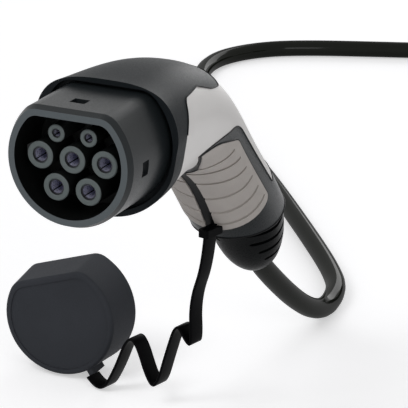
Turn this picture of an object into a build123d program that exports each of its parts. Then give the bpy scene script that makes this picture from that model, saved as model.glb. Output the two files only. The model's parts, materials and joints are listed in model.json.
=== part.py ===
from build123d import *
import os
from collections import namedtuple
from math import copysign, cos, pi, radians, sin, sqrt, tan

os.makedirs("parts", exist_ok=True)

# The frame: the origin is at the mouth of the centre contact, the nose points along -Y,
# the handle's middle plane is x = 0, and Z is up. Lengths are in millimetres, angles in degrees.

# Floor and clearances
floor_z = -180.0
fit_gap = 0.2  # between pieces that slip into each other
seam_gap = 0.4  # joint lines between the mouldings of the handle

# Contact layout, seen from the front
contact_pitch = 16.0
lower_row_drop = contact_pitch * sqrt(3) / 2
pilot_rise = 11.2
power_spots = {
    "contact_earth": (0, 0),
    "contact_neutral": (-contact_pitch, 0),
    "contact_line_1": (contact_pitch, 0),
    "contact_line_2": (contact_pitch / 2, -lower_row_drop),
    "contact_line_3": (-contact_pitch / 2, -lower_row_drop),
}
pilot_spots = {
    "contact_pilot": (-contact_pitch / 2, pilot_rise),
    "contact_proximity": (contact_pitch / 2, pilot_rise),
}

# Contacts: outer radius, bore radius, and the collar that bears on the insulator's back
power_contact = (3.55, 3.0)
pilot_contact = (1.9, 1.5)
bore_depth = 25.0
slit_width = 0.6
slit_depth = 15.0
collar_step = 0.8
collar_length = 3.0
tail_length = 9.0

# Insulator in the nose's well
well_floor = 20.0
insulator_base = 10.0
sleeve_face = -1.0
power_sleeve = 6.35
pilot_sleeve = 4.1
sleeve_edge = 0.4
retainer_plate = 3.0

# Nose housing
nose_front = -5.5
nose_radius = 31.0
nose_flat = 24.0  # height of the flat top over the axis
nose_corner = 9.0
nose_wall = 4.4
rim_taper = 1.4
rim_taper_length = 3.5
nose_seat = 37.0  # the shoulder that bears on the collar's floor
spigot_step = 1.5
spigot_length = 9.0
top_slot = (7.5, 6.0)  # along X, along Y
side_slot = (7.0, 6.0)  # along Z, along Y
top_slot_x = -1.8
side_slot_z = -2.5
slot_y = 10.0

# Collar of the head cover
collar_front = 32.0
collar_gap = 2.6  # recess between the nose and the collar's lip
collar_lip = 1.9
collar_floor = 5.0
chin_drop = 0.5  # the collar hangs a little deeper under the nose

# Handle walls
handle_wall = 3.0
pad_recess = 1.5
pad_proud = 0.5
cover_proud = 0.4
rib_depth = 0.9
rib_width = 1.7
spine_width = 5.0

# Cable
cable_diameter = 11.2
cable_radius = cable_diameter / 2
cable_length = 4000.0
bore_slack = 0.6

# Cross-sections of the handle from the collar down to the foot. Each lies in a plane through
# (y, z) that is tilted back from the nose's face; rise is towards the back of the hand,
# drop towards the fingers, and squareness is 2 for an ellipse.
Station = namedtuple("Station", "y z tilt half_width rise drop squareness")
collar_width = nose_radius + collar_gap + collar_lip
collar_rise = nose_flat + collar_gap + 1.4
stations = [
    Station(collar_front, 0, 0, collar_width, collar_rise, collar_width + chin_drop, 3.0),
    Station(46, 0, 0, 34.3, 27.6, 35.0, 2.8),
    Station(70, -1, 10, 31.6, 27.2, 32.0, 2.5),
    Station(95, -8, 25, 28.5, 27.4, 26.0, 2.3),
    Station(117, -22, 38, 26.0, 27.6, 18.5, 2.2),
    Station(140, -43, 44, 24.4, 27.0, 15.5, 2.1),
    Station(165, -67, 45, 23.6, 27.0, 20.5, 2.0),
    Station(182, -84.5, 47, 22.6, 27.2, 20.0, 2.0),
    Station(199, -102.5, 48, 21.5, 26.4, 18.4, 2.0),
]
foot = Station(181, -80, 78, 0, 0, 0, 2.0)  # plane of the joint with the strain relief
relief_stations = [
    Station(181, -80, 78, 19.5, 27.0, 16.5, 2.0),
    Station(190, -92, 68, 18.6, 23.5, 15.5, 2.0),
    Station(197, -103.5, 60, 15.6, 18.6, 13.6, 2.0),
    Station(202.5, -111.5, 55, 9.8, 10.6, 9.4, 2.0),
]
relief_slots = 4
relief_slot_width = 2.0
relief_slot_depth = 2.4
relief_slot_pitch = 5.2
relief_slot_half = 15.0

# Side views of the joints, as (y, z); the lines that close them run outside the handle
cover_seam = [(117, 34), (108, 8.5), (90, 12.4), (73, 18.2), (52, 18.2), (43.2, 5), (42.6, -50)]
cover_radii = [5, 30, 9, 7, 14]
cover_outside = [(20, -60), (20, 60), (117, 60)]
frame_edge = [(73, -16), (100, -14.2), (122.8, -13.6), (173.5, -59.6), (196, -38)]
frame_radii = [60, 25, 3]
frame_outside = [(260, -90), (150, -170), (80, -60), (113.5, -46.5), (104, -35.2)]
pad_edge = [(78, -17.2), (97, -17.0), (120, -21.2), (162.5, -62.5), (144, -86)]
pad_radii = [60, 10, 4]
pad_outside = [(125, -80), (104, -50), (115.5, -44), (105, -33.6)]

# Ribs moulded into the pads: (y, z) at their front and back ends
rib_ends = [
    ((105, -33.5), (116.0, -25.5)),
    ((111, -39.5), (124.3, -31.9)),
    ((121, -49), (132.4, -39.2)),
    ((132, -60.5), (140.3, -46.1)),
    ((140, -69.5), (148.2, -53.6)),
    ((146, -76.0), (156.4, -60.8)),
]

# Strap and its clip under the handle; the strap's points are (along, z) in its own vertical plane
strap_width = 10.0
strap_thickness = 1.5
strap_root = (2.1, 142.5)
strap_heading = 167.7  # plan direction of the strap's plane
strap_points = [(0, -76), (1.5, -95), (8.7, -118), (8, -138.5), (18, -131.5), (31.7, -166.8),
                (46.5, -147.5), (57, -165), (67, -179.2), (74.8, -174.4)]
strap_radii = [40, 30, 2.2, 3.5, 3.5, 4, 20, 3]
clip_margin = 1.5
clip_height = 4.0
clip_thickness = 6.0
clip_top = -76.5

# Cap, off the nose and standing on its round side
cap_wall = 1.1
cap_depth = 25.5
cap_face = 2.2
cap_taper = 2.0
cap_inner_taper = 1.5
cap_edge = 2.0
cap_border = 3.0
cap_border_step = 0.6
cap_turn = 3.0
cap_roll = 17.8
cap_x = -90.9
cap_y = 158.3  # of the face
lug_angle = 33.0  # of the strap's lug, from the lowest point of the cap
lug_reach = 2.6
lug_thickness = 3.0

# Inside: conductors and the clamp on the cable
wire_radius = 1.4
pilot_wire_radius = 0.8
clamp_radius = 10.5
clamp_length = 12.0
cable_start = 52.0  # inside the handle, measured from the strain relief's mouth

# Route of the cable from the strain relief to the coil, as it lies in the photograph
lead_points = [
    (0, 206, -116.5), (0, 262, -158.5), (0, 297, -174.4), (-5, 329, -174.4), (-19, 355, -174.4),
    (-54, 404, -174.4), (-120, 492, -174.4), (-181, 566, -174.4), (-225, 625, -174.4),
    (-252, 672, -174.4), (-259, 712, -174.4), (-247, 743, -174.4), (-222, 767, -174.4),
    (-158, 794.5, -174.4),
]

# Coil of the length that is put away
coil_centre = (-67.0, 910.0)
coil_radius = 63.2  # middle of the turns
coil_turns_wide = 3
coil_layers = 3
coil_edge = 3.5
coil_entry = -69.5  # where the lead joins the coil, as an angle from +X
coil_leave = -25.0
stub_length = 42.0

# Route from the coil to the plug at the far end
tail_points = [(25.8, 946.2, -159), (55.6, 966, -168.5), (91.5, 968, -174.2), (123.2, 951.2, -173.5),
               (141.7, 920.4, -166)]
plug_exit = (141.7, 880.0)  # mouth of the far plug's strain relief
plug_heading = -55.0
plug_lean = (-3.5, -2.3)
pin_tip = 0.8
pin_front = 1.0


def across(y):
    """Plane square to the nose at y, facing forwards."""
    return Plane.XZ.offset(-y)


def tilted(s):
    """Plane of a handle station, facing up the handle."""
    a = radians(s.tilt)
    return Plane(origin=(0, s.y, s.z), x_dir=(1, 0, 0), z_dir=(0, -cos(a), sin(a)))


def d_profile(radius, flat, corner):
    """Circle cut by a flat top with rounded corners, drawn in the active sketch."""
    Circle(radius)
    with Locations((0, flat - 2 * radius)):
        Rectangle(4 * radius, 4 * radius, mode=Mode.INTERSECT)
    fillet(vertices(), corner)


def section_outline(s, inset, count=16):
    """Points of a station's outline, drawn in by inset."""
    outline = []
    for i in range(count):
        c, v = cos(2 * pi * i / count), sin(2 * pi * i / count)
        power = 2 / (s.squareness if v > 0 else 2.0)
        height = (s.rise if v > 0 else s.drop) - inset
        outline.append((
            (s.half_width - inset) * copysign(abs(c) ** power, c),
            height * copysign(abs(v) ** power, v),
        ))
    return outline


def lofted(chain, inset=0.0):
    """Smooth body through a chain of stations."""
    with BuildPart() as body:
        for s in chain:
            with BuildSketch(tilted(s)):
                with BuildLine():
                    Spline(*section_outline(s, inset), periodic=True)
                make_face()
        loft()
    return body.part


def side_region(edge, radii, outside, grow=0.0, reach=60.0):
    """Prism across the handle, outlined by a joint line in the side view."""
    with BuildPart() as region:
        with BuildSketch(Plane.YZ):
            with BuildLine():
                joint = FilletPolyline(*edge, radius=radii)
                Polyline(joint @ 1, *outside, joint @ 0)
            make_face()
            if grow:
                offset(amount=grow, kind=Kind.INTERSECTION)
        extrude(amount=reach, both=True)
    return region.part


def save(piece, name):
    piece.label = name
    export_step(piece, f"parts/{name}.step")


# Nose housing: a D-shaped tube with a tapered rim, a shoulder and a spigot for the collar
well_radius = nose_radius - nose_wall
well_flat = nose_flat - nose_wall
well_corner = nose_corner - nose_wall / 2
nose_back = nose_seat + spigot_length

with BuildPart() as nose_housing:
    with BuildSketch(across(nose_front)):
        d_profile(nose_radius - rim_taper, nose_flat - rim_taper, nose_corner)
    with BuildSketch(across(nose_front + rim_taper_length)):
        d_profile(nose_radius, nose_flat, nose_corner)
    loft(ruled=True)
    with BuildSketch(across(nose_seat)):
        d_profile(nose_radius, nose_flat, nose_corner)
    extrude(amount=nose_seat - nose_front - rim_taper_length)
    with BuildSketch(across(nose_back)):
        d_profile(nose_radius - spigot_step, nose_flat - spigot_step, nose_corner)
    extrude(amount=spigot_length)
    with BuildSketch(across(nose_back)):
        d_profile(well_radius, well_flat, well_corner)
    extrude(amount=nose_back - nose_front, mode=Mode.SUBTRACT)
    with BuildSketch(Plane.XY.offset(nose_flat - nose_wall / 2)):
        with Locations((top_slot_x, slot_y)):
            Rectangle(*top_slot)
    extrude(amount=nose_wall, both=True, mode=Mode.SUBTRACT)
    with BuildSketch(Plane.YZ):
        with Locations((slot_y, side_slot_z)):
            Rectangle(side_slot[1], side_slot[0])
    extrude(amount=nose_radius + nose_wall, both=True, mode=Mode.SUBTRACT)
save(nose_housing.part, "nose_housing")


# Insulator: a base that fits the well, with a sleeve round each contact
insulator_back = well_floor + insulator_base
contact_kinds = [
    (list(power_spots.values()), power_sleeve, power_contact[0]),
    (list(pilot_spots.values()), pilot_sleeve, pilot_contact[0]),
]

with BuildPart() as contact_insulator:
    with BuildSketch(across(insulator_back)):
        d_profile(well_radius - fit_gap, well_flat - fit_gap, well_corner)
    extrude(amount=insulator_base)
    for spots, sleeve, contact_radius in contact_kinds:
        with BuildSketch(across(well_floor)):
            with Locations(*spots):
                Circle(sleeve)
        extrude(amount=well_floor - sleeve_face)
    for spots, sleeve, contact_radius in contact_kinds:
        with BuildSketch(across(insulator_back)):
            with Locations(*spots):
                Circle(contact_radius + fit_gap)
        extrude(amount=insulator_back - sleeve_face, mode=Mode.SUBTRACT)
    chamfer(contact_insulator.edges().filter_by(GeomType.CIRCLE).group_by(Axis.Y)[0], sleeve_edge)
save(contact_insulator.part, "contact_insulator")


# Retainer: the plate that holds the contacts' collars against the insulator
retainer_front = insulator_back + collar_length
with BuildPart() as contact_retainer:
    with BuildSketch(across(retainer_front + retainer_plate)):
        d_profile(well_radius - fit_gap, well_flat - fit_gap, well_corner)
        for spots, sleeve, contact_radius in contact_kinds:
            with Locations(*spots):
                Circle(contact_radius + fit_gap, mode=Mode.SUBTRACT)
    extrude(amount=retainer_plate)
save(contact_retainer.part, "contact_retainer")


def socket_contact(spot, radii):
    """Split tube with a collar behind the insulator and a tail for the conductor."""
    outer, bore = radii
    tail_end = retainer_front + tail_length
    with BuildPart() as contact:
        with BuildSketch(across(tail_end)):
            with Locations(spot):
                Circle(outer)
        extrude(amount=tail_end)
        with BuildSketch(across(retainer_front)):
            with Locations(spot):
                Circle(outer + collar_step)
        extrude(amount=collar_length)
        with BuildSketch(across(bore_depth)):
            with Locations(spot):
                Circle(bore)
        extrude(amount=bore_depth, mode=Mode.SUBTRACT)
        with BuildSketch(across(slit_depth)):
            with Locations(spot):
                Rectangle(3 * outer, slit_width, rotation=45)
        extrude(amount=slit_depth, mode=Mode.SUBTRACT)
    return contact.part


for contact_name, spot in power_spots.items():
    save(socket_contact(spot, power_contact), contact_name)
for contact_name, spot in pilot_spots.items():
    save(socket_contact(spot, pilot_contact), contact_name)


# Forms shared by the pieces of the handle
outer_form = lofted(stations)
inner_form = lofted(stations, inset=handle_wall)
recess_form = lofted(stations, inset=pad_recess)
pad_form = lofted(stations, inset=-pad_proud)
pad_floor_form = lofted(stations, inset=pad_recess - fit_gap / 2)
cover_form = lofted(stations, inset=-cover_proud)
rib_form = lofted(stations, inset=rib_depth - pad_proud)
cover_region = side_region(cover_seam, cover_radii, cover_outside)
frame_region = side_region(frame_edge, frame_radii, frame_outside)
pad_region = side_region(pad_edge, pad_radii, pad_outside)

collar_seat = collar_front + collar_floor
collar_wall = nose_back - nose_seat - 1.0
recess_radius = nose_radius + collar_gap
recess_flat = nose_flat + collar_gap - 0.6
foot_plane = tilted(foot)

# Hollow of the head cover, which starts behind the collar's floor
with BuildPart() as head_cavity:
    add(inner_form)
    split(bisect_by=across(collar_seat + collar_wall), keep=Keep.BOTTOM)

# Head cover: collar with the recess round the nose, and the saddle over the back of the hand
with BuildPart() as head_cover:
    add(cover_form)
    add(cover_region, mode=Mode.INTERSECT)
    add(head_cavity.part, mode=Mode.SUBTRACT)
    with BuildSketch(across(collar_seat)):
        d_profile(recess_radius, recess_flat, nose_corner + collar_gap)
    extrude(amount=collar_seat, mode=Mode.SUBTRACT)
    with BuildSketch(across(nose_back)):
        d_profile(nose_radius - spigot_step + fit_gap, nose_flat - spigot_step + fit_gap, nose_corner)
    extrude(amount=nose_back, mode=Mode.SUBTRACT)
save(head_cover.part, "head_cover")

# Handle shell: the light moulding between the head cover and the frame
with BuildPart() as handle_shell:
    add(outer_form)
    add(inner_form, mode=Mode.SUBTRACT)
    add(side_region(cover_seam, cover_radii, cover_outside, grow=seam_gap), mode=Mode.SUBTRACT)
    add(side_region(frame_edge, frame_radii, frame_outside, grow=seam_gap), mode=Mode.SUBTRACT)
save(handle_shell.part, "handle_shell")

# Pocket for the pads: their outline, as deep as the recess
with BuildPart() as pad_pocket:
    add(side_region(pad_edge, pad_radii, pad_outside, grow=seam_gap))
    add(recess_form, mode=Mode.SUBTRACT)

# Grip frame: the border of the pads and the sleeve below, with the recess that holds the pads
with BuildPart() as grip_frame:
    add(outer_form)
    add(inner_form, mode=Mode.SUBTRACT)
    add(frame_region, mode=Mode.INTERSECT)
    add(pad_pocket.part, mode=Mode.SUBTRACT)
    split(bisect_by=foot_plane, keep=Keep.TOP)
save(grip_frame.part, "grip_frame")

# Cutter for the ribs: grooves across the right pad, all as deep as each other
pad_inner_edge = spine_width / 2 + seam_gap
with BuildPart() as rib_cutter:
    with BuildSketch(Plane.YZ.offset(pad_inner_edge)):
        for front, back in rib_ends:
            middle = ((front[0] + back[0]) / 2, (front[1] + back[1]) / 2)
            SlotCenterPoint(middle, back, rib_width)
    extrude(amount=collar_width)
    add(rib_form, mode=Mode.SUBTRACT)

# Grip pads: the left one is the mirror image of the right one
with BuildPart() as grip_pad_right:
    add(pad_form)
    split(bisect_by=Plane.YZ.offset(pad_inner_edge), keep=Keep.TOP)
    add(pad_region, mode=Mode.INTERSECT)
    add(pad_floor_form, mode=Mode.SUBTRACT)
    add(rib_cutter.part, mode=Mode.SUBTRACT)
save(grip_pad_right.part, "grip_pad_right")

with BuildPart() as grip_pad_left:
    mirror(grip_pad_right.part, about=Plane.YZ)
save(grip_pad_left.part, "grip_pad_left")

# Grip spine: the strip between the pads
with BuildPart() as grip_spine:
    add(outer_form)
    split(bisect_by=Plane.YZ.offset(spine_width / 2), keep=Keep.BOTTOM)
    split(bisect_by=Plane.YZ.offset(-spine_width / 2), keep=Keep.TOP)
    add(pad_region, mode=Mode.INTERSECT)
    add(pad_floor_form, mode=Mode.SUBTRACT)
save(grip_spine.part, "grip_spine")


# Strain relief: tapered boot under the handle's foot, with slots on both sides
relief_mouth = relief_stations[-1]
mouth_plane = tilted(relief_mouth)
relief_form = lofted(relief_stations)

with BuildPart() as slot_cutter:
    with BuildSketch(Plane.YZ):
        for i in range(relief_slots):
            s = relief_stations[0]
            lean = radians(s.tilt - 3 - 5 * i)
            y, z = s.y + 5 + 3.4 * i, s.z - 6 - relief_slot_pitch * i
            half = relief_slot_half - 2.0 * i
            SlotCenterPoint((y, z), (y + half * sin(lean), z + half * cos(lean)), relief_slot_width)
    extrude(amount=collar_width, both=True)
    add(lofted(relief_stations, inset=relief_slot_depth), mode=Mode.SUBTRACT)

with BuildPart() as strain_relief:
    add(relief_form)
    add(slot_cutter.part, mode=Mode.SUBTRACT)
    with BuildSketch(mouth_plane):
        Circle(cable_radius + bore_slack)
    extrude(amount=cable_start, both=True, mode=Mode.SUBTRACT)
save(strain_relief.part, "strain_relief")

# Cable clamp: ring on the cable's end, standing on the strain relief's top
with BuildPart() as cable_clamp:
    with BuildSketch(mouth_plane.offset(cable_start - clamp_length - 12)):
        Circle(clamp_radius)
        Circle(cable_radius + fit_gap, mode=Mode.SUBTRACT)
    extrude(amount=clamp_length + 8)
    split(bisect_by=foot_plane, keep=Keep.TOP)
save(cable_clamp.part, "cable_clamp")


def tube(points, radii, radius):
    """Round rod along straight runs joined by arcs."""
    with BuildPart() as rod:
        with BuildLine() as path:
            FilletPolyline(*points, radius=radii)
        with BuildSketch(Plane(origin=path.line @ 0, z_dir=path.line % 0)):
            Circle(radius)
        sweep()
    return rod.part


# Conductors: one from each contact's tail, gathered at the cable's end
wire_start = retainer_front + tail_length
cable_head = mouth_plane.from_local_coords((0, 0, cable_start))
wires = []
for spots, radius in ((power_spots, wire_radius), (pilot_spots, pilot_wire_radius)):
    for x, z in spots.values():
        gather = mouth_plane.from_local_coords((0.22 * x, 0.22 * z, cable_start))
        approach = mouth_plane.from_local_coords((0.22 * x, 0.22 * z, cable_start + 14))
        route = [(x, wire_start, z), (x, wire_start + 10, z), (0.6 * x, 88, 0.55 * z - 6),
                 (0.4 * x, 128, 0.4 * z - 34), approach, gather]
        wires.append(tube(route, [12, 25, 25, 10], radius))
with BuildPart() as conductors:
    add(wires)
save(conductors.part, "conductors")

# Strap clip: a loop under the grip's end that the strap hangs from
with BuildPart() as strap_clip:
    with BuildSketch(Plane.XY.offset(clip_top)):
        with Locations(Location(strap_root, strap_heading - 90)):
            RectangleRounded(strap_width + 2 * clip_margin, clip_thickness, 1.0)
            Rectangle(strap_width + 2 * fit_gap, strap_thickness + 2 * fit_gap, mode=Mode.SUBTRACT)
    extrude(amount=-clip_height)
    add(lofted(stations, inset=-fit_gap / 2), mode=Mode.SUBTRACT)
save(strap_clip.part, "strap_clip")

# Tether strap: flat band that springs up and down between the clip and the cap
heading = radians(strap_heading)
strap_plane = Plane(origin=(*strap_root, 0), x_dir=(cos(heading), sin(heading), 0),
                    z_dir=(sin(heading), -cos(heading), 0))
with BuildPart() as tether_strap:
    with BuildSketch(strap_plane):
        with BuildLine():
            band = FilletPolyline(*strap_points, radius=strap_radii)
            offset(band, amount=strap_thickness / 2, side=Side.BOTH)
        make_face()
    extrude(amount=strap_width / 2, both=True)
save(tether_strap.part, "tether_strap")

# Cap: D-shaped hood that fits over the nose, with a lug for the strap
cap_inner = nose_radius + 1.5 * fit_gap
cap_outer = cap_inner + cap_wall
cap_outer_flat = nose_flat + 1.5 * fit_gap + cap_wall
turn, roll = radians(cap_turn), radians(cap_roll)
cap_plane = Plane(
    origin=(cap_x, cap_y, floor_z + cap_outer),
    x_dir=(cos(turn) * cos(roll), sin(turn) * cos(roll), sin(roll)),
    z_dir=(sin(turn), -cos(turn), 0),
)
cap_border_radius = cap_outer - cap_taper - cap_border
cap_border_flat = cap_outer_flat - cap_taper - cap_border

with BuildPart() as cap:
    with BuildSketch(cap_plane.offset(-cap_depth)):
        d_profile(cap_outer, cap_outer_flat, nose_corner)
    with BuildSketch(cap_plane):
        d_profile(cap_outer - cap_taper, cap_outer_flat - cap_taper, nose_corner)
    loft(ruled=True)
    fillet(cap.faces().sort_by_distance(cap_plane.origin)[0].edges(), cap_edge)
    with BuildSketch(cap_plane.offset(-cap_depth)):
        d_profile(cap_inner, cap_outer_flat - cap_wall, nose_corner)
    with BuildSketch(cap_plane.offset(-cap_face)):
        d_profile(cap_inner - cap_inner_taper, cap_outer_flat - cap_wall - cap_inner_taper, nose_corner)
    loft(ruled=True, mode=Mode.SUBTRACT)
    with BuildSketch(cap_plane):
        d_profile(cap_border_radius, cap_border_flat, nose_corner - cap_border / 2)
    extrude(amount=-cap_border_step, mode=Mode.SUBTRACT)
    with BuildSketch(cap_plane.offset(-1.5)):
        with Locations(Location((0, 0), lug_angle - 90 - cap_roll)):
            with Locations((cap_outer - cap_taper / 2 + lug_reach / 2 - 0.5, 0)):
                Rectangle(lug_reach + 1.0, lug_thickness)
    extrude(amount=-strap_width - 2 * clip_margin)
save(cap.part, "cap")

# Coil: the outer shape of the turns, with the straight ends that leave it
coil_foot_half = coil_turns_wide * cable_radius
coil_top_half = (coil_turns_wide - 1) * cable_radius
layer_rise = cable_diameter * sqrt(3) / 2
coil_height = cable_diameter + (coil_layers - 1) * layer_rise


def coil_end(angle, radius, layer):
    """Point on the coil's turns and the direction of the cable there."""
    a = radians(angle)
    point = Vector(coil_centre[0] + radius * cos(a), coil_centre[1] + radius * sin(a),
                   floor_z + cable_radius + layer * layer_rise)
    return point, Vector(-sin(a), cos(a), 0)


entry_point, entry_heading = coil_end(coil_entry, coil_radius + cable_diameter, 0)
leave_point, leave_heading = coil_end(coil_leave, coil_radius + cable_radius, coil_layers - 1)
entry_face = Plane(origin=entry_point - entry_heading * stub_length, z_dir=entry_heading)
leave_face = Plane(origin=leave_point + leave_heading * stub_length, z_dir=-leave_heading)

with BuildPart() as cable_coil:
    with BuildSketch(Plane(origin=(*coil_centre, floor_z), x_dir=(1, 0, 0), z_dir=(0, -1, 0))):
        with BuildLine():
            Polyline(
                (coil_radius - coil_foot_half, 0), (coil_radius + coil_foot_half, 0),
                (coil_radius + coil_foot_half, cable_diameter), (coil_radius + coil_top_half, coil_height),
                (coil_radius - coil_top_half, coil_height), (coil_radius - coil_foot_half, cable_diameter),
                close=True,
            )
        make_face()
        fillet(vertices(), coil_edge)
    revolve(axis=Axis((*coil_centre, floor_z), (0, 0, 1)))
    for face in (entry_face, leave_face):
        with BuildSketch(face):
            Circle(cable_radius)
        extrude(amount=stub_length)
save(cable_coil.part, "cable_coil")


def route_radii(points):
    """Largest arcs that the runs beside each corner have room for."""
    radii = []
    for before, corner, after in zip(points, points[1:], points[2:]):
        arriving, leaving = Vector(corner) - Vector(before), Vector(after) - Vector(corner)
        half_turn = radians(arriving.get_angle(leaving)) / 2
        radii.append(0.45 * min(arriving.length, leaving.length) / tan(half_turn))
    return radii


# Cable from the handle to the coil
lead_route = [cable_head, *lead_points, entry_face.origin]
lead_radii = route_radii(lead_route)
cable_lead = tube(lead_route, lead_radii, cable_radius)
save(cable_lead, "cable_lead")

# Far plug: the same handle on its side, with pins in place of the socket contacts
far_turn = Location((0, 0, 0), (0, 0, plug_heading)) * Location((0, 0, 0), (*plug_lean, 0))
far_pose = far_turn * Location((0, 0, 0), (0, 90, 0))
handle_pieces = {
    "head_cover": head_cover.part,
    "handle_shell": handle_shell.part,
    "grip_frame": grip_frame.part,
    "grip_pad_right": grip_pad_right.part,
    "grip_pad_left": grip_pad_left.part,
    "grip_spine": grip_spine.part,
    "strain_relief": strain_relief.part,
}
mouth_there = far_pose * Location((0, relief_mouth.y, relief_mouth.z))
lowest = min((far_pose * piece).bounding_box().min.Z for piece in handle_pieces.values())
far_place = Location((
    plug_exit[0] - mouth_there.position.X,
    plug_exit[1] - mouth_there.position.Y,
    floor_z - lowest,
)) * far_pose


def far_point(along):
    """Point on the axis of the far plug's strain relief, from its mouth into the handle."""
    inside = mouth_plane.from_local_coords((0, 0, along))
    return (far_place * Location(inside)).position


for piece_name, piece in handle_pieces.items():
    save(piece.moved(far_place), f"plug_{piece_name}")

# Far nose: the same shroud without the slots
with BuildPart() as plug_nose:
    with BuildSketch(across(nose_front)):
        d_profile(nose_radius - rim_taper, nose_flat - rim_taper, nose_corner)
    with BuildSketch(across(nose_front + rim_taper_length)):
        d_profile(nose_radius, nose_flat, nose_corner)
    loft(ruled=True)
    with BuildSketch(across(nose_seat)):
        d_profile(nose_radius, nose_flat, nose_corner)
    extrude(amount=nose_seat - nose_front - rim_taper_length)
    with BuildSketch(across(nose_back)):
        d_profile(nose_radius - spigot_step, nose_flat - spigot_step, nose_corner)
    extrude(amount=spigot_length)
    with BuildSketch(across(nose_back)):
        d_profile(well_radius, well_flat, well_corner)
    extrude(amount=nose_back - nose_front, mode=Mode.SUBTRACT)
save(plug_nose.part.moved(far_place), "plug_nose_housing")

# Far insulator: a base with a hole for each pin
with BuildPart() as plug_insulator:
    with BuildSketch(across(insulator_back)):
        d_profile(well_radius - fit_gap, well_flat - fit_gap, well_corner)
        for spots, sleeve, contact_radius in contact_kinds:
            with Locations(*spots):
                Circle(contact_radius, mode=Mode.SUBTRACT)
    extrude(amount=insulator_base)
save(plug_insulator.part.moved(far_place), "plug_insulator")


def pins(spots, radii):
    """Round pins with a blunt tip, and a thicker root that fills the insulator's hole."""
    root, pin = radii
    with BuildPart() as group:
        with BuildSketch(across(insulator_back)):
            with Locations(*spots.values()):
                Circle(root - fit_gap)
        extrude(amount=insulator_base)
        with BuildSketch(across(insulator_back)):
            with Locations(*spots.values()):
                Circle(pin)
        extrude(amount=insulator_back - pin_front)
        chamfer(group.edges().filter_by(GeomType.CIRCLE).group_by(Axis.Y)[0], pin_tip)
    return group.part


save(pins(power_spots, power_contact).moved(far_place), "plug_power_pins")
save(pins(pilot_spots, pilot_contact).moved(far_place), "plug_pilot_pins")

# Cable from the coil to the far plug
tail_route = [leave_face.origin, *tail_points, far_point(-6), far_point(cable_start / 2)]
tail_radii = route_radii(tail_route)
cable_tail = tube(tail_route, tail_radii, cable_radius)
save(cable_tail, "cable_tail")

for cord, radii in (("lead", lead_radii), ("tail", tail_radii)):
    print(cord, "bend radii", [round(r, 1) for r in radii])
cord_area = pi * cable_radius ** 2
print("lengths", round(cable_lead.volume / cord_area, 1), round(cable_tail.volume / cord_area, 1))
print("far mouth", far_point(0), "far end", far_point(cable_start / 2), "head", cable_head)
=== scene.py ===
import json
import math

import bmesh
import bpy
from mathutils import Matrix, Vector

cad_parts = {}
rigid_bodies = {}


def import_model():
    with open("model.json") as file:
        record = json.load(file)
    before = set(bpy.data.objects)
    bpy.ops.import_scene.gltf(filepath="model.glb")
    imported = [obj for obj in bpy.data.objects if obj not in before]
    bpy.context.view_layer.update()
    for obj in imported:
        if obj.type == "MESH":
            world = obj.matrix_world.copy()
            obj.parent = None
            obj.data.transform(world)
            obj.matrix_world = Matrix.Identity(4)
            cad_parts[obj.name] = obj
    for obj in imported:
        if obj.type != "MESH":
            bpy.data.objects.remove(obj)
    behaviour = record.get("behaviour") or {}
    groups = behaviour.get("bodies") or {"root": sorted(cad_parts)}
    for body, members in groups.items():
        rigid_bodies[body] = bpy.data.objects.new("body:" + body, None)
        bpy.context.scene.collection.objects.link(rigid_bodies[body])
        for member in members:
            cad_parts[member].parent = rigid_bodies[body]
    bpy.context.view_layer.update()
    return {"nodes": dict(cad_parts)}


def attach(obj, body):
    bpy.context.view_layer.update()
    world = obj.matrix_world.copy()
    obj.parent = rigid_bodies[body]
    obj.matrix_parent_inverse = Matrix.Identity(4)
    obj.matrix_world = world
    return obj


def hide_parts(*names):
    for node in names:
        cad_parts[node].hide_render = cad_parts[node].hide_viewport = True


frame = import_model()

nodes = frame["nodes"]
print("frame loaded:", len(nodes), "nodes")


# sRGB hex to the linear colour that Blender's sockets take
def linear(hexColour, alpha=1.0):
    values = []
    for start in (1, 3, 5):
        c = int(hexColour[start:start + 2], 16) / 255
        values.append(c / 12.92 if c <= 0.04045 else ((c + 0.055) / 1.055) ** 2.4)
    return (*values, alpha)


# adds a node with its settings, and sets or links its inputs
def addNode(tree, kind, inputs=None, **settings):
    node = tree.nodes.new(kind)
    for name, value in settings.items():
        setattr(node, name, value)
    for socket, value in (inputs or {}).items():
        if isinstance(value, bpy.types.NodeSocket):
            tree.links.new(value, node.inputs[socket])
        else:
            node.inputs[socket].default_value = value
    return node


# a Mix node's sockets when it mixes colours
mixShare, mixUnder, mixOver, mixedColour = 0, 6, 7, 2

# How every skin varies: the noise behind its tone, and the finer one behind gloss and bump
skin = {"cloudDetail": 2.0, "cloudRough": 0.5, "grainDetail": 3.0, "grainRough": 0.6,
        "grainLow": 0.3, "grainHigh": 0.7}


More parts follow.
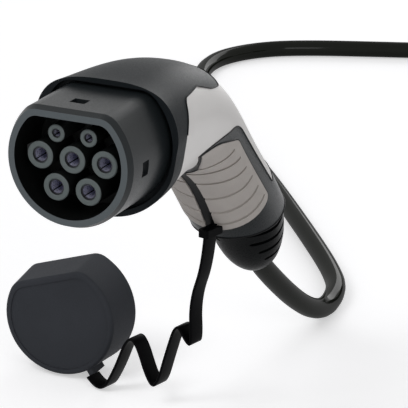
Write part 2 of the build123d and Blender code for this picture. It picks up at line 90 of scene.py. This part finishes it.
# Moulded, dipped, extruded and plated surfaces: a cloudy two-tone colour, an uneven gloss and a
# fine grain as bump. Lengths are in metres. zones(tree, parts, colour) paints parts of a surface.
def mouldedSurface(look, zones=None):
    material = bpy.data.materials.new(look["name"])
    material.use_nodes = True
    tree = material.node_tree
    tree.nodes.clear()
    place = addNode(tree, "ShaderNodeTexCoord").outputs["Object"]
    cloud = addNode(tree, "ShaderNodeTexNoise", {
        "Vector": place, "Scale": 1 / look["cloud"], "Detail": skin["cloudDetail"],
        "Roughness": skin["cloudRough"]})
    grain = addNode(tree, "ShaderNodeTexNoise", {
        "Vector": place, "Scale": 1 / look["grain"], "Detail": skin["grainDetail"],
        "Roughness": skin["grainRough"]})
    tone = addNode(tree, "ShaderNodeMix", {
        mixShare: cloud.outputs["Fac"], mixUnder: linear(look["dark"]), mixOver: linear(look["light"])},
        data_type="RGBA")
    colour = tone.outputs[mixedColour]
    if zones:
        parts = addNode(tree, "ShaderNodeSeparateXYZ", {"Vector": place})
        colour = zones(tree, parts, colour)
    gloss = addNode(tree, "ShaderNodeMapRange", {
        "Value": grain.outputs["Fac"], "From Min": skin["grainLow"], "From Max": skin["grainHigh"],
        "To Min": look["rough"] - look["uneven"], "To Max": look["rough"] + look["uneven"]})
    bump = addNode(tree, "ShaderNodeBump", {
        "Height": grain.outputs["Fac"], "Strength": look["bump"], "Distance": look["depth"]})
    shader = addNode(tree, "ShaderNodeBsdfPrincipled", {
        "Base Color": colour, "Roughness": gloss.outputs["Result"], "Normal": bump.outputs["Normal"],
        "Specular IOR Level": look.get("specular", 0.5), "Metallic": look.get("metal", 0.0),
        "Coat Weight": look.get("coat", 0.0), "Coat Roughness": look.get("coatRough", 0.1)})
    addNode(tree, "ShaderNodeOutputMaterial", {"Surface": shader.outputs["BSDF"]})
    return material


# Glass-filled polyamide, moulded in a spark-eroded tool: satin, with a fine grain. The ring's front
# face is painted grey as painted light, and the well behind it is painted black as painted shade.
shroudLook = {
    "name": "polyamideShroud", "dark": "#16191b", "light": "#1f2325", "cloud": 0.02, "grain": 0.0007,
    "rough": 0.34, "uneven": 0.07, "bump": 0.18, "depth": 0.0002, "specular": 0.18,
    # painted light: the grey of the ring's front face; painted shade: the black of the well
    "ringFace": "#4f5558", "ringDepth": -0.0054,
    "well": "#0a0b0b", "wellRadius": 0.0275, "wellFlat": 0.0203,
}


def shroudZones(tree, parts, colour):
    ringFace = addNode(tree, "ShaderNodeMath", {
        0: parts.outputs["Y"], 1: shroudLook["ringDepth"]}, operation="LESS_THAN")
    behindIt = addNode(tree, "ShaderNodeMath", {0: 1.0, 1: ringFace.outputs[0]}, operation="SUBTRACT")
    flat = addNode(tree, "ShaderNodeCombineXYZ", {"X": parts.outputs["X"], "Z": parts.outputs["Z"]})
    reach = addNode(tree, "ShaderNodeVectorMath", {0: flat.outputs[0]}, operation="LENGTH")
    # painted shade: the well inside the ring, behind its front face, is painted black
    nearAxis = addNode(tree, "ShaderNodeMath", {
        0: reach.outputs["Value"], 1: shroudLook["wellRadius"]}, operation="LESS_THAN")
    underFlat = addNode(tree, "ShaderNodeMath", {
        0: parts.outputs["Z"], 1: shroudLook["wellFlat"]}, operation="LESS_THAN")
    inWell = addNode(tree, "ShaderNodeMath", {
        0: nearAxis.outputs[0], 1: underFlat.outputs[0]}, operation="MULTIPLY")
    wellWall = addNode(tree, "ShaderNodeMath", {
        0: inWell.outputs[0], 1: behindIt.outputs[0]}, operation="MULTIPLY")
    # painted light: the ring's front face painted grey
    ringPaintedLight = addNode(tree, "ShaderNodeMix", {
        mixShare: ringFace.outputs[0], mixUnder: colour, mixOver: linear(shroudLook["ringFace"])},
        data_type="RGBA")
    wellPaintedShade = addNode(tree, "ShaderNodeMix", {
        mixShare: wellWall.outputs[0], mixUnder: ringPaintedLight.outputs[mixedColour],
        mixOver: linear(shroudLook["well"])}, data_type="RGBA")
    return wellPaintedShade.outputs[mixedColour]


# The same polyamide, painted black as painted shade in the well, with the sleeves' front faces
# painted grey as painted light
sleeveLook = {
    "name": "polyamideSleeves", "dark": "#0b0c0c", "light": "#121414", "cloud": 0.01, "grain": 0.0006,
    "rough": 0.45, "uneven": 0.06, "bump": 0.12, "depth": 0.0002, "specular": 0.2,
    "face": "#565d5d", "faceDepth": -0.0006,
}


def sleeveZones(tree, parts, colour):
    face = addNode(tree, "ShaderNodeMath", {
        0: parts.outputs["Y"], 1: sleeveLook["faceDepth"]}, operation="LESS_THAN")
    # painted light: the sleeves' front faces painted grey
    sleeveFacesPaintedLight = addNode(tree, "ShaderNodeMix", {
        mixShare: face.outputs[0], mixUnder: colour, mixOver: linear(sleeveLook["face"])},
        data_type="RGBA")
    return sleeveFacesPaintedLight.outputs[mixedColour]


# Silver plating on turned brass: cool and bright inside, with the face round the mouth painted dark as
# painted shade
silverLook = {
    "name": "silverPlating", "dark": "#a6a6bd", "light": "#cfcfe2", "cloud": 0.003, "grain": 0.0009,
    "rough": 0.3, "uneven": 0.08, "bump": 0.08, "depth": 0.0001, "metal": 0.6,
    "mouth": "#2c2c33", "mouthDepth": 0.0003,
}


def silverZones(tree, parts, colour):
    mouth = addNode(tree, "ShaderNodeMath", {
        0: parts.outputs["Y"], 1: silverLook["mouthDepth"]}, operation="LESS_THAN")
    # painted shade: the contacts' front face round the mouth painted dark
    mouthPaintedShade = addNode(tree, "ShaderNodeMix", {
        mixShare: mouth.outputs[0], mixUnder: colour, mixOver: linear(silverLook["mouth"])},
        data_type="RGBA")
    return mouthPaintedShade.outputs[mixedColour]


# Polyamide again, satin charcoal on the cover and a little glossier on the frame
coverLook = {
    "name": "polyamideCover", "dark": "#15181a", "light": "#1c2023", "cloud": 0.03, "grain": 0.0008,
    "rough": 0.45, "uneven": 0.06, "bump": 0.16, "depth": 0.0002, "specular": 0.05,
}
frameLook = {
    "name": "polyamideFrame", "dark": "#15181a", "light": "#1e2224", "cloud": 0.02, "grain": 0.0007,
    "rough": 0.3, "uneven": 0.06, "bump": 0.14, "depth": 0.0002, "specular": 0.08,
}
# ASA shell from a polished tool: pale, warm and even, with a soft broad highlight
shellLook = {
    "name": "paleShell", "dark": "#c9c6c4", "light": "#d7d5d3", "cloud": 0.05, "grain": 0.0009,
    "rough": 0.38, "uneven": 0.05, "bump": 0.08, "depth": 0.0002,
}
# Thermoplastic elastomer: dry, warm grey on the pads, black on the spine and the relief
padLook = {
    "name": "gripElastomer", "dark": "#97918c", "light": "#a9a39e", "cloud": 0.012, "grain": 0.0008,
    "rough": 0.58, "uneven": 0.08, "bump": 0.25, "depth": 0.0003,
}
spineLook = {
    "name": "blackElastomer", "dark": "#08080a", "light": "#0f0f10", "cloud": 0.01, "grain": 0.0007,
    "rough": 0.5, "uneven": 0.06, "bump": 0.2, "depth": 0.0002, "specular": 0.08,
}
reliefLook = {
    "name": "reliefElastomer", "dark": "#0b0c0d", "light": "#111314", "cloud": 0.014,
    "grain": 0.0008, "rough": 0.3, "uneven": 0.07, "bump": 0.2, "depth": 0.0003, "specular": 0.03,
}
# Polyurethane jacket, extruded: near black with a green cast under a clear gloss
jacketLook = {
    "name": "urethaneJacket", "dark": "#10120e", "light": "#161913", "cloud": 0.03, "grain": 0.0012,
    "rough": 0.3, "uneven": 0.04, "bump": 0.03, "depth": 0.0002, "specular": 0.0,
    "coat": 0.2, "coatRough": 0.1,
}
# Soft vinyl: the strap is satin black, and the dipped cap is matt charcoal
strapLook = {
    "name": "satinStrap", "dark": "#050506", "light": "#0b0b0d", "cloud": 0.01, "grain": 0.0007,
    "rough": 0.34, "uneven": 0.06, "bump": 0.1, "depth": 0.0002, "specular": 0.02,
}
capLook = {
    "name": "softCap", "dark": "#303236", "light": "#383a3f", "cloud": 0.025, "grain": 0.0008,
    "rough": 0.6, "uneven": 0.06, "bump": 0.2, "depth": 0.0003, "specular": 0.06,
}
# Inside parts: the conductors' insulation, and the plain grey plastic of the clamp and retainer
wireLook = {
    "name": "wireInsulation", "dark": "#3a2417", "light": "#5a3a22", "cloud": 0.02, "grain": 0.001,
    "rough": 0.4, "uneven": 0.05, "bump": 0.05, "depth": 0.0001,
}
clampLook = {
    "name": "clampPlastic", "dark": "#55565a", "light": "#66676b", "cloud": 0.01, "grain": 0.0008,
    "rough": 0.5, "uneven": 0.05, "bump": 0.1, "depth": 0.0002,
}

shroud = mouldedSurface(shroudLook, shroudZones)
sleeves = mouldedSurface(sleeveLook, sleeveZones)
plainShroud = mouldedSurface({**shroudLook, "name": "polyamidePlugShroud"})
plainSleeves = mouldedSurface({**sleeveLook, "name": "polyamidePlugBase"})
silver = mouldedSurface(silverLook, silverZones)
cover = mouldedSurface(coverLook)
gripFrame = mouldedSurface(frameLook)
shell = mouldedSurface(shellLook)
pads = mouldedSurface(padLook)
spine = mouldedSurface(spineLook)
relief = mouldedSurface(reliefLook)
jacket = mouldedSurface(jacketLook)
strapSkin = mouldedSurface(strapLook)
capSkin = mouldedSurface(capLook)
wires = mouldedSurface(wireLook)
clamp = mouldedSurface(clampLook)

# every node that isn't named here is a silvered contact
finishOf = {
    "nose_housing": shroud, "contact_insulator": sleeves, "contact_retainer": clamp,
    "head_cover": cover, "handle_shell": shell, "grip_frame": gripFrame,
    "grip_pad_right": pads, "grip_pad_left": pads, "grip_spine": spine,
    "strain_relief": relief, "cable_clamp": clamp, "conductors": wires,
    "strap_clip": strapSkin, "tether_strap": strapSkin, "cap": capSkin,
    "cable_lead": jacket, "cable_coil": jacket, "cable_tail": jacket,
    "plug_nose_housing": plainShroud, "plug_insulator": plainSleeves,
    "plug_power_pins": silver, "plug_pilot_pins": silver,
    "plug_head_cover": cover, "plug_handle_shell": shell, "plug_grip_frame": gripFrame,
    "plug_grip_pad_right": pads, "plug_grip_pad_left": pads, "plug_grip_spine": spine,
    "plug_strain_relief": relief,
}
for name, node in nodes.items():
    node.data.materials.clear()
    node.data.materials.append(finishOf.get(name, silver))
print("materials made and given to the nodes")

# Camera at the photograph's angle: turned and dropped in degrees round the centre contact's mouth,
# then aimed a little aside and down from it, as shares of the distance
cameraPlace = {
    "turn": 27.5, "drop": 18.3, "distance": 1.3, "aside": 0.04459, "down": 0.01515,
    "lens": 259.2, "sensor": 36, "near": 0.05, "far": 50,
}
turn, drop = math.radians(cameraPlace["turn"]), math.radians(cameraPlace["drop"])
aside = Vector((math.cos(turn), math.sin(turn), 0))
ahead = Vector((-math.sin(turn) * math.cos(drop), math.cos(turn) * math.cos(drop), -math.sin(drop)))
upward = aside.cross(ahead)
look = (ahead + aside * cameraPlace["aside"] - upward * cameraPlace["down"]).normalized()
sideways = look.cross(upward).normalized()
cameraData = bpy.data.cameras.new("camera")
cameraData.lens, cameraData.sensor_width = cameraPlace["lens"], cameraPlace["sensor"]
cameraData.clip_start, cameraData.clip_end = cameraPlace["near"], cameraPlace["far"]
camera = bpy.data.objects.new("camera", cameraData)
bpy.context.scene.collection.objects.link(camera)
camera.matrix_world = Matrix.Translation(-ahead * cameraPlace["distance"]) @ Matrix(
    (sideways, sideways.cross(look), -look)).transposed().to_4x4()
bpy.context.scene.camera = camera
print("camera placed")

# The cable: one length from the strain relief, along the floor, round the coil and to the plug.
# Millimetres. The coil's turns are keyed as (turns since the entry, radius, height), and its
# entry is an angle in degrees.
cableRoute = {
    "diameter": 11.2, "roundness": 7,
    "lead": [
        (0, 180, -79.4), (0, 196, -102.2), (0, 206, -116.5), (0, 262, -158.5), (0, 297, -174.4),
        (-5, 329, -174.4), (-19, 355, -174.4), (-54, 404, -174.4), (-120, 492, -174.4),
        (-181, 566, -174.4), (-225, 625, -174.4), (-252, 672, -174.4), (-259, 712, -174.4),
        (-247, 743, -174.4), (-222, 767, -174.4), (-158, 794.5, -174.4), (-80.3, 825.6, -174.4),
        (-42.5, 839.5, -174.4),
    ],
    "coilCentre": (-67, 910), "coilEntry": -69.5, "pointsPerTurn": 14,
    "turns": [
        (0.00, 74.4, -174.4), (0.84, 74.4, -174.4), (0.97, 63.2, -174.4), (1.84, 63.2, -174.4),
        (1.97, 52.0, -174.4), (2.71, 52.0, -174.4), (2.84, 52.0, -163.2), (3.56, 52.0, -163.2),
        (3.70, 63.2, -163.2), (4.43, 63.2, -163.2), (4.56, 63.2, -152.0), (5.22, 63.2, -152.0),
        (5.34, 74.4, -152.0), (5.46, 74.4, -163.2), (6.12, 74.4, -163.2), (6.25, 85.6, -163.2),
        (6.45, 85.6, -174.0), (6.68, 86.5, -174.0), (6.86, 86.0, -162.5), (7.00, 84.0, -162.5),
    ],
    "tail": [
        (-6.0, 856.0, -162.5), (9.0, 892.0, -163.5), (15.5, 920.0, -164.5), (28.0, 946.2, -167.0),
        (55.6, 966, -171.0), (91.5, 968, -174.2), (123.2, 951.2, -173.5), (141.7, 920.4, -166),
        (141.69, 885.99, -159.19), (141.756, 854.06, -157.023),
    ],
}


# a smooth open curve with the points, in millimetres, as its control points
def splineObject(name, points, dimensions="3D", steps=10):
    curve = bpy.data.curves.new(name, "CURVE")
    curve.dimensions = dimensions
    spline = curve.splines.new("NURBS")
    spline.points.add(len(points) - 1)
    for point, place in zip(spline.points, points):
        point.co = (*(value / 1000 for value in place), 1.0)
    spline.order_u = 3
    spline.use_endpoint_u = True
    spline.resolution_u = steps
    made = bpy.data.objects.new(name, curve)
    bpy.context.scene.collection.objects.link(made)
    return made


# the control points of all the turns, from the keys' radius and height at each turn's share
def coilPoints(route):
    keys, count = route["turns"], route["pointsPerTurn"]
    widen = 1 / math.cos(math.pi / count)  # the spline runs just inside its points
    points = []
    for step in range(1, int(keys[-1][0] * count)):
        turned = step / count
        last = next(i for i, key in enumerate(keys) if key[0] >= turned)
        before, after = keys[last - 1], keys[last]
        share = (turned - before[0]) / (after[0] - before[0])
        radius = (before[1] + share * (after[1] - before[1])) * widen
        height = before[2] + share * (after[2] - before[2])
        angle = math.radians(route["coilEntry"]) + 2 * math.pi * turned
        points.append((route["coilCentre"][0] + radius * math.cos(angle),
                       route["coilCentre"][1] + radius * math.sin(angle), height))
    return points


cablePoints = cableRoute["lead"] + coilPoints(cableRoute) + cableRoute["tail"]
cable = splineObject("chargingCable", cablePoints)
cable.data.bevel_depth = cableRoute["diameter"] / 2000
cable.data.bevel_resolution = cableRoute["roundness"]
cable.data.use_fill_caps = True
cable.data.materials.append(jacket)
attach(cable, "root")
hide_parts("cable_lead", "cable_coil", "cable_tail")
print("cable laid")

# The strap: a flat band that springs up and down between the clip and the cap, in one upright
# plane. Millimetres; the points are (distance along the heading, height).
strapShape = {
    "root": (2.1, 142.5), "heading": 167.7, "width": 10.0, "thickness": 1.5, "roundness": 3,
    "points": [
        (0, -76), (1.2, -95), (9.2, -117), (7.6, -140.5), (11.5, -138.5), (17.5, -129.5),
        (24, -149), (30, -169), (35.5, -166), (43.5, -146), (49.5, -147), (57, -166),
        (66.5, -182.2), (74.8, -174.4),
    ],
}
ribbon = splineObject("strapLine", [(*point, 0) for point in strapShape["points"]], "2D")
ribbon.data.fill_mode = "NONE"
heading = math.radians(strapShape["heading"])
across = Vector((math.cos(heading), math.sin(heading), 0))
straightUp = Vector((0, 0, 1))
upright = Matrix((across, straightUp, across.cross(straightUp))).transposed().to_4x4()
upright.translation = Vector((*strapShape["root"], 0)) / 1000
line = bpy.data.meshes.new_from_object(ribbon)
strapPath = [upright @ vertex.co for vertex in line.vertices]
ribbon.data.bevel_depth = strapShape["thickness"] / 2000
ribbon.data.bevel_resolution = strapShape["roundness"]
ribbon.data.extrude = (strapShape["width"] - strapShape["thickness"]) / 2000
ribbon.data.use_fill_caps = True
band = bpy.data.meshes.new_from_object(ribbon)
band.transform(upright)
bpy.data.objects.remove(ribbon)
strap = bpy.data.objects.new("tetherBand", band)
bpy.context.scene.collection.objects.link(strap)
strap.data.materials.clear()
strap.data.materials.append(strapSkin)
strapLength = sum((b - a).length for a, b in zip(strapPath, strapPath[1:]))
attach(strap, "root")
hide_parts("tether_strap")
print("strap bent, length", round(strapLength, 4))

# Painted shade: thin black lines along the sharp edges of the frames and the cover, where the seams
# between parts lie in shade. Metres and degrees; the cover's lines start behind its collar.
seamShadeShape = {"radius": 0.00042, "roundness": 1, "sharp": 48, "merge": 0.00001, "collarEnd": 0.0435}


# draws painted seam shade: black tubes along a node's sharp edges
def seamShadeLines(name, nodeName, low=None):
    edges = bmesh.new()
    edges.from_mesh(nodes[nodeName].data)
    bmesh.ops.remove_doubles(edges, verts=edges.verts, dist=seamShadeShape["merge"])
    sharp = math.radians(seamShadeShape["sharp"])
    plain = [edge for edge in edges.edges if not edge.is_manifold or edge.calc_face_angle(0) < sharp
             or (low and (edge.verts[0].co.y < low or edge.verts[1].co.y < low))]
    bmesh.ops.delete(edges, geom=edges.faces, context="FACES_ONLY")
    bmesh.ops.delete(edges, geom=plain, context="EDGES")
    loose = [vertex for vertex in edges.verts if not vertex.link_edges]
    bmesh.ops.delete(edges, geom=loose, context="VERTS")
    mesh = bpy.data.meshes.new(name)
    edges.to_mesh(mesh)
    edges.free()
    lines = bpy.data.objects.new(name, mesh)
    bpy.context.scene.collection.objects.link(lines)
    for other in bpy.context.view_layer.objects:
        other.select_set(other == lines)
    bpy.context.view_layer.objects.active = lines
    bpy.ops.object.convert(target="CURVE")
    lines = bpy.context.view_layer.objects.active
    lines.select_set(False)
    lines.data.bevel_depth = seamShadeShape["radius"]
    lines.data.bevel_resolution = seamShadeShape["roundness"]
    lines.data.materials.clear()
    lines.data.materials.append(spine)
    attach(lines, "root")


# painted shade in the seams of the grip frames and the head cover
seamShadeLines("frameSeamShade", "grip_frame")
seamShadeLines("coverSeamShade", "head_cover", seamShadeShape["collarEnd"])
seamShadeLines("plugFrameSeamShade", "plug_grip_frame")
print("painted seam shade drawn")

# Studio: white floor and sky to the eye, plain soft light on the object. A lamp is its name,
# place, width and watts.
studio = {
    "floorHeight": -0.18003, "floorSize": 14, "floorMiddle": 0.4,
    "floorColour": "#e6e6e8", "floorGlow": 0.46, "white": "#ffffff", "sky": 0.40,
    "lamps": [
        ("keyLamp", (-0.45, -0.95, 1.15), 0.7, 9.0),
        ("fillLamp", (1.15, -0.95, 0.5), 0.7, 6.0),
        ("backLamp", (-0.15, 1.9, 0.4), 0.75, 7.0),
    ],
    "aim": (0, 0.15, -0.08),
}
floorMesh = bmesh.new()
bmesh.ops.create_grid(floorMesh, x_segments=1, y_segments=1, size=studio["floorSize"] / 2)
bmesh.ops.translate(floorMesh, verts=floorMesh.verts,
                    vec=(0, studio["floorMiddle"], studio["floorHeight"]))
floorData = bpy.data.meshes.new("floor")
floorMesh.to_mesh(floorData)
floorMesh.free()
floor = bpy.data.objects.new("floor", floorData)
bpy.context.scene.collection.objects.link(floor)

paper = bpy.data.materials.new("whitePaper")
paper.use_nodes = True
world = bpy.data.worlds.new("studioSky")
world.use_nodes = True
bpy.context.scene.world = world

# 1 where the eye, a reflection or glass looks, and 0 where a surface only lights the object
looked = {}
for tree in (paper.node_tree, world.node_tree):
    tree.nodes.clear()
    ray = addNode(tree, "ShaderNodeLightPath")
    seen = addNode(tree, "ShaderNodeMath", {
        0: ray.outputs["Is Camera Ray"], 1: ray.outputs["Is Glossy Ray"]}, operation="ADD", use_clamp=True)
    looked[tree] = addNode(tree, "ShaderNodeMath", {
        0: seen.outputs[0], 1: ray.outputs["Is Transmission Ray"]}, operation="ADD", use_clamp=True)

tree = paper.node_tree
lift = addNode(tree, "ShaderNodeMath", {
    0: looked[tree].outputs[0], 1: studio["floorGlow"]}, operation="MULTIPLY")
glow = addNode(tree, "ShaderNodeEmission", {"Color": linear(studio["white"]), "Strength": lift.outputs[0]})
matt = addNode(tree, "ShaderNodeBsdfDiffuse", {"Color": linear(studio["floorColour"])})
both = addNode(tree, "ShaderNodeAddShader", {0: glow.outputs[0], 1: matt.outputs[0]})
addNode(tree, "ShaderNodeOutputMaterial", {"Surface": both.outputs[0]})
floorData.materials.append(paper)

tree = world.node_tree
strength = addNode(tree, "ShaderNodeMapRange", {
    "Value": looked[tree].outputs[0], "To Min": studio["sky"], "To Max": 1.0})
sky = addNode(tree, "ShaderNodeBackground", {
    "Color": linear(studio["white"]), "Strength": strength.outputs["Result"]})
addNode(tree, "ShaderNodeOutputWorld", {"Surface": sky.outputs[0]})

for lampName, place, size, power in studio["lamps"]:
    lampData = bpy.data.lights.new(lampName, "AREA")
    lampData.size, lampData.energy = size, power
    lamp = bpy.data.objects.new(lampName, lampData)
    bpy.context.scene.collection.objects.link(lamp)
    lamp.location = place
    lamp.rotation_mode = "QUATERNION"
    lamp.rotation_quaternion = (Vector(studio["aim"]) - Vector(place)).to_track_quat("-Z", "Y")
bpy.context.scene.view_settings.view_transform = "Standard"
print("studio lit")
